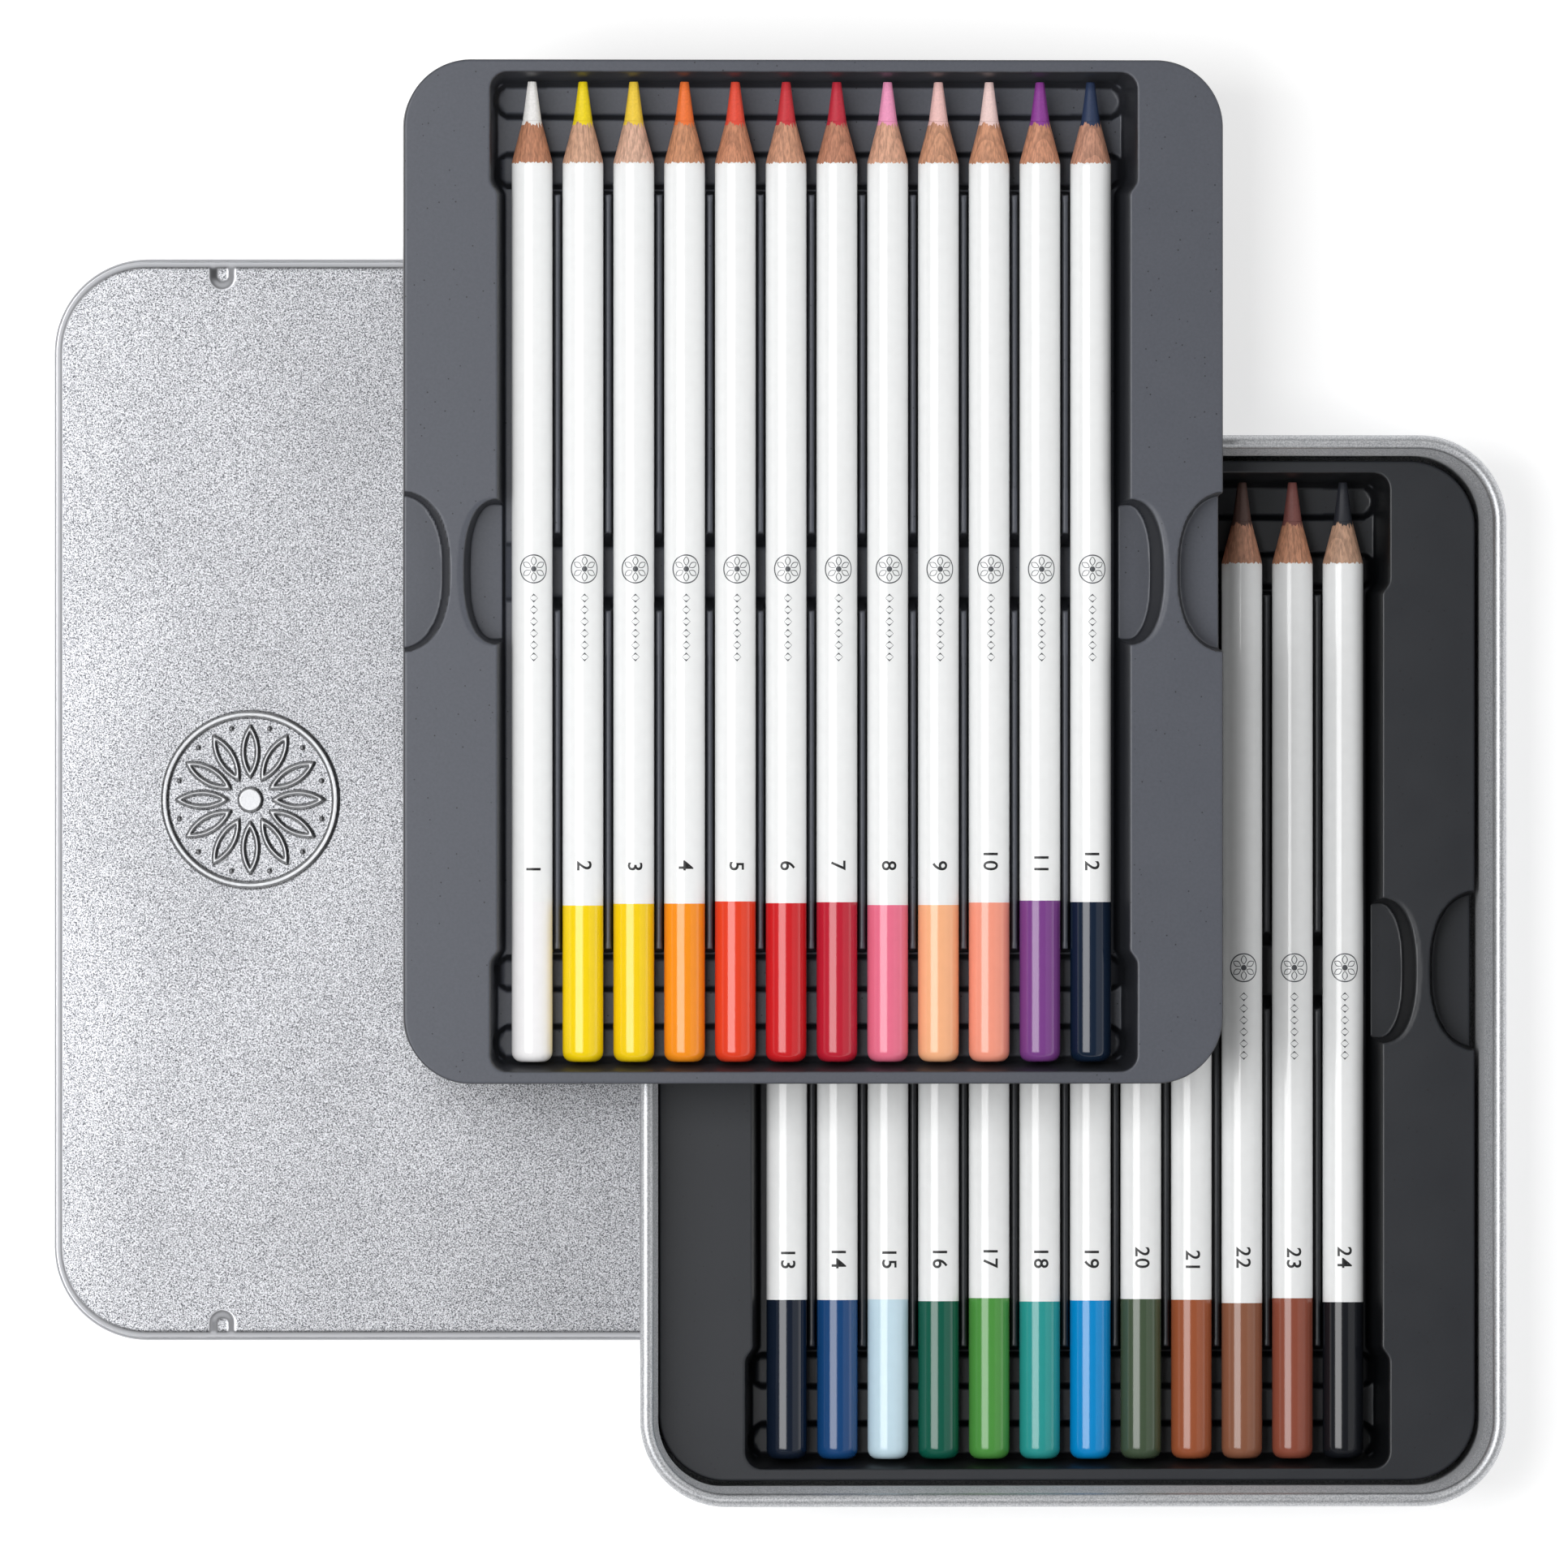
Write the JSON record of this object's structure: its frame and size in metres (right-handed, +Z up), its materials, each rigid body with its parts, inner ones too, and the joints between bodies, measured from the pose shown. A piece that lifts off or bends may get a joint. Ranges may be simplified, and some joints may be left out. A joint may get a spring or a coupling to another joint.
{
  "type": "coloured pencil tin",
  "caption": "Metal tin laid open: lid, tin and two formed plastic trays with round coloured pencils, each pencil and tray free to lift out.",
  "frame": {"origin": "on the ground, under the middle of the laid-out set", "axes": "+Z up, +Y from the dipped ends of the pencils towards their points, +X from the lid towards the tin"},
  "size_m": [0.2602, 0.2586, 0.0525],
  "materials": {
    "tin_steel": "satin tinplate, lacquered",
    "lid_steel": "matt sandblasted tinplate, lacquered",
    "tray_plastic": "satin vacuum-formed polystyrene",
    "painted_wood": "white lacquer over cedar",
    "pigment_white": "waxy coloured lead",
    "pigment_yellow": "waxy coloured lead",
    "pigment_gold": "waxy coloured lead",
    "pigment_orange": "waxy coloured lead",
    "pigment_vermilion": "waxy coloured lead",
    "pigment_red": "waxy coloured lead",
    "pigment_crimson": "waxy coloured lead",
    "pigment_pink": "waxy coloured lead",
    "pigment_peach": "waxy coloured lead",
    "pigment_salmon": "waxy coloured lead",
    "pigment_violet": "waxy coloured lead",
    "pigment_navy": "waxy coloured lead",
    "pigment_indigo": "waxy coloured lead",
    "pigment_blue": "waxy coloured lead",
    "pigment_ice": "waxy coloured lead",
    "pigment_pine": "waxy coloured lead",
    "pigment_leaf": "waxy coloured lead",
    "pigment_teal": "waxy coloured lead",
    "pigment_sky": "waxy coloured lead",
    "pigment_olive": "waxy coloured lead",
    "pigment_rust": "waxy coloured lead",
    "pigment_umber": "waxy coloured lead",
    "pigment_sienna": "waxy coloured lead",
    "pigment_black": "waxy coloured lead"
  },
  "bodies": {
    "tin": {"base_tin": "tin_steel"},
    "lid": {"lid": "lid_steel"},
    "lower_tray": {"lower_tray": "tray_plastic"},
    "upper_tray": {"upper_tray": "tray_plastic"},
    "pencil_white": {"pencil_white_casing": "painted_wood", "pencil_white_core": "pigment_white"},
    "pencil_yellow": {"pencil_yellow_casing": "painted_wood", "pencil_yellow_core": "pigment_yellow"},
    "pencil_gold": {"pencil_gold_casing": "painted_wood", "pencil_gold_core": "pigment_gold"},
    "pencil_orange": {"pencil_orange_casing": "painted_wood", "pencil_orange_core": "pigment_orange"},
    "pencil_vermilion": {"pencil_vermilion_casing": "painted_wood", "pencil_vermilion_core": "pigment_vermilion"},
    "pencil_red": {"pencil_red_casing": "painted_wood", "pencil_red_core": "pigment_red"},
    "pencil_crimson": {"pencil_crimson_casing": "painted_wood", "pencil_crimson_core": "pigment_crimson"},
    "pencil_pink": {"pencil_pink_casing": "painted_wood", "pencil_pink_core": "pigment_pink"},
    "pencil_peach": {"pencil_peach_casing": "painted_wood", "pencil_peach_core": "pigment_peach"},
    "pencil_salmon": {"pencil_salmon_casing": "painted_wood", "pencil_salmon_core": "pigment_salmon"},
    "pencil_violet": {"pencil_violet_casing": "painted_wood", "pencil_violet_core": "pigment_violet"},
    "pencil_navy": {"pencil_navy_casing": "painted_wood", "pencil_navy_core": "pigment_navy"},
    "pencil_indigo": {"pencil_indigo_casing": "painted_wood", "pencil_indigo_core": "pigment_indigo"},
    "pencil_blue": {"pencil_blue_casing": "painted_wood", "pencil_blue_core": "pigment_blue"},
    "pencil_ice": {"pencil_ice_casing": "painted_wood", "pencil_ice_core": "pigment_ice"},
    "pencil_pine": {"pencil_pine_casing": "painted_wood", "pencil_pine_core": "pigment_pine"},
    "pencil_leaf": {"pencil_leaf_casing": "painted_wood", "pencil_leaf_core": "pigment_leaf"},
    "pencil_teal": {"pencil_teal_casing": "painted_wood", "pencil_teal_core": "pigment_teal"},
    "pencil_sky": {"pencil_sky_casing": "painted_wood", "pencil_sky_core": "pigment_sky"},
    "pencil_olive": {"pencil_olive_casing": "painted_wood", "pencil_olive_core": "pigment_olive"},
    "pencil_rust": {"pencil_rust_casing": "painted_wood", "pencil_rust_core": "pigment_rust"},
    "pencil_umber": {"pencil_umber_casing": "painted_wood", "pencil_umber_core": "pigment_umber"},
    "pencil_sienna": {"pencil_sienna_casing": "painted_wood", "pencil_sienna_core": "pigment_sienna"},
    "pencil_black": {"pencil_black_casing": "painted_wood", "pencil_black_core": "pigment_black"}
  },
  "joints": [
    {"name": "lid_slide", "type": "slide", "parent": "tin", "child": "lid", "axis": [-1, 0, 0], "range_m": [0, 0.11]},
    {"name": "lower_tray_lift", "type": "slide", "parent": "tin", "child": "lower_tray", "axis": [0.0858, 0, 0.9963], "range_m": [0, 0.03]},
    {"name": "upper_tray_lift", "type": "slide", "parent": "lower_tray", "child": "upper_tray", "axis": [0.0858, 0, 0.9963], "range_m": [0, 0.04]},
    {"name": "white_lift", "type": "slide", "parent": "upper_tray", "child": "pencil_white", "axis": [0.0858, 0, 0.9963], "range_m": [0, 0.03]},
    {"name": "yellow_lift", "type": "slide", "parent": "upper_tray", "child": "pencil_yellow", "axis": [0.0858, 0, 0.9963], "range_m": [0, 0.03]},
    {"name": "gold_lift", "type": "slide", "parent": "upper_tray", "child": "pencil_gold", "axis": [0.0858, 0, 0.9963], "range_m": [0, 0.03]},
    {"name": "orange_lift", "type": "slide", "parent": "upper_tray", "child": "pencil_orange", "axis": [0.0858, 0, 0.9963], "range_m": [0, 0.03]},
    {"name": "vermilion_lift", "type": "slide", "parent": "upper_tray", "child": "pencil_vermilion", "axis": [0.0858, 0, 0.9963], "range_m": [0, 0.03]},
    {"name": "red_lift", "type": "slide", "parent": "upper_tray", "child": "pencil_red", "axis": [0.0858, 0, 0.9963], "range_m": [0, 0.03]},
    {"name": "crimson_lift", "type": "slide", "parent": "upper_tray", "child": "pencil_crimson", "axis": [0.0858, 0, 0.9963], "range_m": [0, 0.03]},
    {"name": "pink_lift", "type": "slide", "parent": "upper_tray", "child": "pencil_pink", "axis": [0.0858, 0, 0.9963], "range_m": [0, 0.03]},
    {"name": "peach_lift", "type": "slide", "parent": "upper_tray", "child": "pencil_peach", "axis": [0.0858, 0, 0.9963], "range_m": [0, 0.03]},
    {"name": "salmon_lift", "type": "slide", "parent": "upper_tray", "child": "pencil_salmon", "axis": [0.0858, 0, 0.9963], "range_m": [0, 0.03]},
    {"name": "violet_lift", "type": "slide", "parent": "upper_tray", "child": "pencil_violet", "axis": [0.0858, 0, 0.9963], "range_m": [0, 0.03]},
    {"name": "navy_lift", "type": "slide", "parent": "upper_tray", "child": "pencil_navy", "axis": [0.0858, 0, 0.9963], "range_m": [0, 0.03]},
    {"name": "indigo_lift", "type": "slide", "parent": "lower_tray", "child": "pencil_indigo", "axis": [0.0858, 0, 0.9963], "range_m": [0, 0.014]},
    {"name": "blue_lift", "type": "slide", "parent": "lower_tray", "child": "pencil_blue", "axis": [0.0858, 0, 0.9963], "range_m": [0, 0.014]},
    {"name": "ice_lift", "type": "slide", "parent": "lower_tray", "child": "pencil_ice", "axis": [0.0858, 0, 0.9963], "range_m": [0, 0.014]},
    {"name": "pine_lift", "type": "slide", "parent": "lower_tray", "child": "pencil_pine", "axis": [0.0858, 0, 0.9963], "range_m": [0, 0.014]},
    {"name": "leaf_lift", "type": "slide", "parent": "lower_tray", "child": "pencil_leaf", "axis": [0.0858, 0, 0.9963], "range_m": [0, 0.014]},
    {"name": "teal_lift", "type": "slide", "parent": "lower_tray", "child": "pencil_teal", "axis": [0.0858, 0, 0.9963], "range_m": [0, 0.014]},
    {"name": "sky_lift", "type": "slide", "parent": "lower_tray", "child": "pencil_sky", "axis": [0.0858, 0, 0.9963], "range_m": [0, 0.014]},
    {"name": "olive_lift", "type": "slide", "parent": "lower_tray", "child": "pencil_olive", "axis": [0.0858, 0, 0.9963], "range_m": [0, 0.014]},
    {"name": "rust_lift", "type": "slide", "parent": "lower_tray", "child": "pencil_rust", "axis": [0.0858, 0, 0.9963], "range_m": [0, 0.014]},
    {"name": "umber_lift", "type": "slide", "parent": "lower_tray", "child": "pencil_umber", "axis": [0.0858, 0, 0.9963], "range_m": [0, 0.03]},
    {"name": "sienna_lift", "type": "slide", "parent": "lower_tray", "child": "pencil_sienna", "axis": [0.0858, 0, 0.9963], "range_m": [0, 0.03]},
    {"name": "black_lift", "type": "slide", "parent": "lower_tray", "child": "pencil_black", "axis": [0.0858, 0, 0.9963], "range_m": [0, 0.03]}
  ]
}
